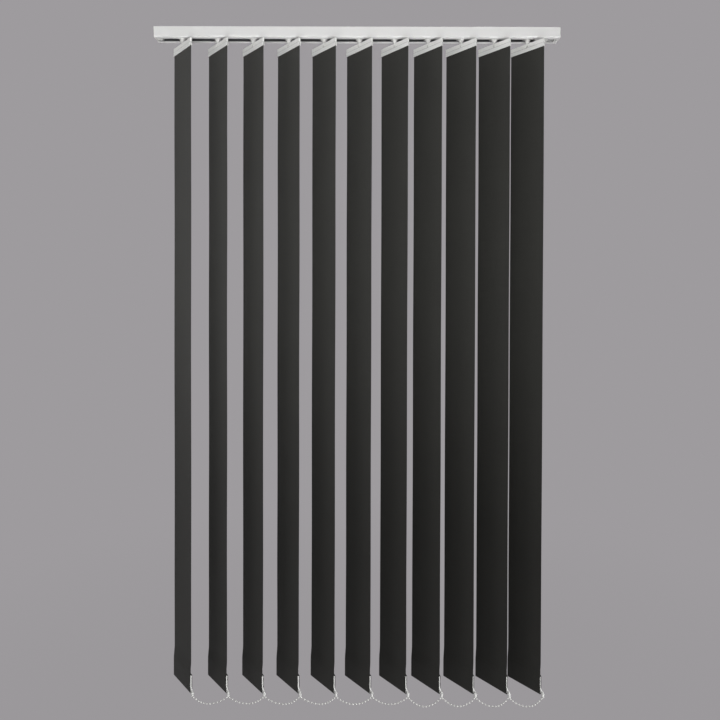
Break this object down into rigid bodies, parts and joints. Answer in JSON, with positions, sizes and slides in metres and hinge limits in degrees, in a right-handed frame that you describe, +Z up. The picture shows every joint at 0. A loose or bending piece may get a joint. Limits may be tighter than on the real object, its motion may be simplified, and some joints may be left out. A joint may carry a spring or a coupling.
{
  "type": "vertical blind",
  "caption": "Ceiling-fixed headrail with a row of hanging fabric vanes that tilt together and draw to one side, with a bead chain linking their weights.",
  "frame": {"origin": "centre of the two ceiling screw holes, on the brackets' top plane", "axes": "+X along the rail towards the control end, -Y towards the room, +Z up"},
  "size_m": [0.908, 0.0775, 1.5169],
  "materials": {
    "rail_coat": "white powder coat",
    "white_plastic": "moulded",
    "bracket_steel": "zinc plated",
    "rod_metal": "mill",
    "chain_plastic": "moulded",
    "hook_plastic": "moulded, slightly clear",
    "fabric": "coated weave",
    "weight_plastic": "moulded"
  },
  "bodies": {
    "rail": {"headrail": "rail_coat", "end_caps": "white_plastic", "top_brackets": "bracket_steel"},
    "tilt_rod": {"tilt_rod": "rod_metal"},
    "carrier_01": {"carrier_01": "white_plastic"},
    "carrier_02": {"carrier_02": "white_plastic"},
    "carrier_03": {"carrier_03": "white_plastic"},
    "carrier_04": {"carrier_04": "white_plastic"},
    "carrier_05": {"carrier_05": "white_plastic"},
    "carrier_06": {"carrier_06": "white_plastic"},
    "carrier_07": {"carrier_07": "white_plastic"},
    "carrier_08": {"carrier_08": "white_plastic"},
    "carrier_09": {"carrier_09": "white_plastic"},
    "carrier_10": {"carrier_10": "white_plastic"},
    "carrier_11": {"carrier_11": "white_plastic"},
    "vane_01": {"hook_01": "hook_plastic", "hanger_01": "white_plastic", "vane_01": "fabric", "weight_01": "weight_plastic"},
    "vane_02": {"hook_02": "hook_plastic", "hanger_02": "white_plastic", "vane_02": "fabric", "weight_02": "weight_plastic"},
    "vane_03": {"hook_03": "hook_plastic", "hanger_03": "white_plastic", "vane_03": "fabric", "weight_03": "weight_plastic"},
    "vane_04": {"hook_04": "hook_plastic", "hanger_04": "white_plastic", "vane_04": "fabric", "weight_04": "weight_plastic"},
    "vane_05": {"hook_05": "hook_plastic", "hanger_05": "white_plastic", "vane_05": "fabric", "weight_05": "weight_plastic"},
    "vane_06": {"hook_06": "hook_plastic", "hanger_06": "white_plastic", "vane_06": "fabric", "weight_06": "weight_plastic"},
    "vane_07": {"hook_07": "hook_plastic", "hanger_07": "white_plastic", "vane_07": "fabric", "weight_07": "weight_plastic"},
    "vane_08": {"hook_08": "hook_plastic", "hanger_08": "white_plastic", "vane_08": "fabric", "weight_08": "weight_plastic"},
    "vane_09": {"hook_09": "hook_plastic", "hanger_09": "white_plastic", "vane_09": "fabric", "weight_09": "weight_plastic"},
    "vane_10": {"hook_10": "hook_plastic", "hanger_10": "white_plastic", "vane_10": "fabric", "weight_10": "weight_plastic"},
    "vane_11": {"hook_11": "hook_plastic", "hanger_11": "white_plastic", "vane_11": "fabric", "weight_11": "weight_plastic"},
    "chain": {"bottom_chain": "chain_plastic"}
  },
  "joints": [
    {"name": "traverse", "type": "slide", "parent": "rail", "child": "carrier_01", "axis": [1, 0, 0], "range_m": [0, 0.567], "deforming": ["bottom_chain"]},
    {"name": "carrier_02_slide", "type": "slide", "parent": "rail", "child": "carrier_02", "axis": [1, 0, 0], "range_m": [0, 0.509]},
    {"name": "carrier_03_slide", "type": "slide", "parent": "rail", "child": "carrier_03", "axis": [1, 0, 0], "range_m": [0, 0.451]},
    {"name": "carrier_04_slide", "type": "slide", "parent": "rail", "child": "carrier_04", "axis": [1, 0, 0], "range_m": [0, 0.393]},
    {"name": "carrier_05_slide", "type": "slide", "parent": "rail", "child": "carrier_05", "axis": [1, 0, 0], "range_m": [0, 0.335]},
    {"name": "carrier_06_slide", "type": "slide", "parent": "rail", "child": "carrier_06", "axis": [1, 0, 0], "range_m": [0, 0.277]},
    {"name": "carrier_07_slide", "type": "slide", "parent": "rail", "child": "carrier_07", "axis": [1, 0, 0], "range_m": [0, 0.219]},
    {"name": "carrier_08_slide", "type": "slide", "parent": "rail", "child": "carrier_08", "axis": [1, 0, 0], "range_m": [0, 0.166]},
    {"name": "carrier_09_slide", "type": "slide", "parent": "rail", "child": "carrier_09", "axis": [1, 0, 0], "range_m": [0, 0.113]},
    {"name": "carrier_10_slide", "type": "slide", "parent": "rail", "child": "carrier_10", "axis": [1, 0, 0], "range_m": [0, 0.06]},
    {"name": "carrier_11_slide", "type": "slide", "parent": "rail", "child": "carrier_11", "axis": [1, 0, 0], "range_m": [0, 0.007]},
    {"name": "tilt", "type": "hinge", "parent": "carrier_01", "child": "vane_01", "pos_m": [-0.395, 0, -0.03], "axis": [0, 0, 1], "range_deg": [-114, 34]},
    {"name": "vane_02_tilt", "type": "hinge", "parent": "carrier_02", "child": "vane_02", "pos_m": [-0.315, 0, -0.03], "axis": [0, 0, 1], "range_deg": [-114, 34]},
    {"name": "vane_03_tilt", "type": "hinge", "parent": "carrier_03", "child": "vane_03", "pos_m": [-0.235, 0, -0.03], "axis": [0, 0, 1], "range_deg": [-114, 34]},
    {"name": "vane_04_tilt", "type": "hinge", "parent": "carrier_04", "child": "vane_04", "pos_m": [-0.155, 0, -0.03], "axis": [0, 0, 1], "range_deg": [-114, 34]},
    {"name": "vane_05_tilt", "type": "hinge", "parent": "carrier_05", "child": "vane_05", "pos_m": [-0.075, 0, -0.03], "axis": [0, 0, 1], "range_deg": [-114, 34]},
    {"name": "vane_06_tilt", "type": "hinge", "parent": "carrier_06", "child": "vane_06", "pos_m": [0.005, 0, -0.03], "axis": [0, 0, 1], "range_deg": [-114, 34]},
    {"name": "vane_07_tilt", "type": "hinge", "parent": "carrier_07", "child": "vane_07", "pos_m": [0.085, 0, -0.03], "axis": [0, 0, 1], "range_deg": [-114, 34]},
    {"name": "vane_08_tilt", "type": "hinge", "parent": "carrier_08", "child": "vane_08", "pos_m": [0.16, 0, -0.03], "axis": [0, 0, 1], "range_deg": [-114, 34]},
    {"name": "vane_09_tilt", "type": "hinge", "parent": "carrier_09", "child": "vane_09", "pos_m": [0.235, 0, -0.03], "axis": [0, 0, 1], "range_deg": [-114, 34]},
    {"name": "vane_10_tilt", "type": "hinge", "parent": "carrier_10", "child": "vane_10", "pos_m": [0.31, 0, -0.03], "axis": [0, 0, 1], "range_deg": [-114, 34]},
    {"name": "vane_11_tilt", "type": "hinge", "parent": "carrier_11", "child": "vane_11", "pos_m": [0.385, 0, -0.03], "axis": [0, 0, 1], "range_deg": [-114, 34]},
    {"name": "tilt_rod_spin", "type": "hinge", "parent": "rail", "child": "tilt_rod", "pos_m": [0, 0.0096, -0.0165], "axis": [1, 0, 0], "range_deg": [-798, 238]},
    {"name": "chain_swivel", "type": "hinge", "parent": "vane_11", "child": "chain", "pos_m": [0.41746, -0.03868, -1.4878], "axis": [0, 0, 1], "range_deg": [-34, 114]}
  ],
  "couplings": [
    {"joint": "carrier_02_slide", "follows": "traverse", "ratio": 0.89771},
    {"joint": "carrier_03_slide", "follows": "traverse", "ratio": 0.79541},
    {"joint": "carrier_04_slide", "follows": "traverse", "ratio": 0.69312},
    {"joint": "carrier_05_slide", "follows": "traverse", "ratio": 0.59083},
    {"joint": "carrier_06_slide", "follows": "traverse", "ratio": 0.48854},
    {"joint": "carrier_07_slide", "follows": "traverse", "ratio": 0.38624},
    {"joint": "carrier_08_slide", "follows": "traverse", "ratio": 0.29277},
    {"joint": "carrier_09_slide", "follows": "traverse", "ratio": 0.19929},
    {"joint": "carrier_10_slide", "follows": "traverse", "ratio": 0.10582},
    {"joint": "carrier_11_slide", "follows": "traverse", "ratio": 0.012346},
    {"joint": "vane_02_tilt", "follows": "tilt", "ratio": 1},
    {"joint": "vane_03_tilt", "follows": "tilt", "ratio": 1},
    {"joint": "vane_04_tilt", "follows": "tilt", "ratio": 1},
    {"joint": "vane_05_tilt", "follows": "tilt", "ratio": 1},
    {"joint": "vane_06_tilt", "follows": "tilt", "ratio": 1},
    {"joint": "vane_07_tilt", "follows": "tilt", "ratio": 1},
    {"joint": "vane_08_tilt", "follows": "tilt", "ratio": 1},
    {"joint": "vane_09_tilt", "follows": "tilt", "ratio": 1},
    {"joint": "vane_10_tilt", "follows": "tilt", "ratio": 1},
    {"joint": "vane_11_tilt", "follows": "tilt", "ratio": 1},
    {"joint": "tilt_rod_spin", "follows": "tilt", "ratio": 7},
    {"joint": "chain_swivel", "follows": "tilt", "ratio": -1}
  ]
}
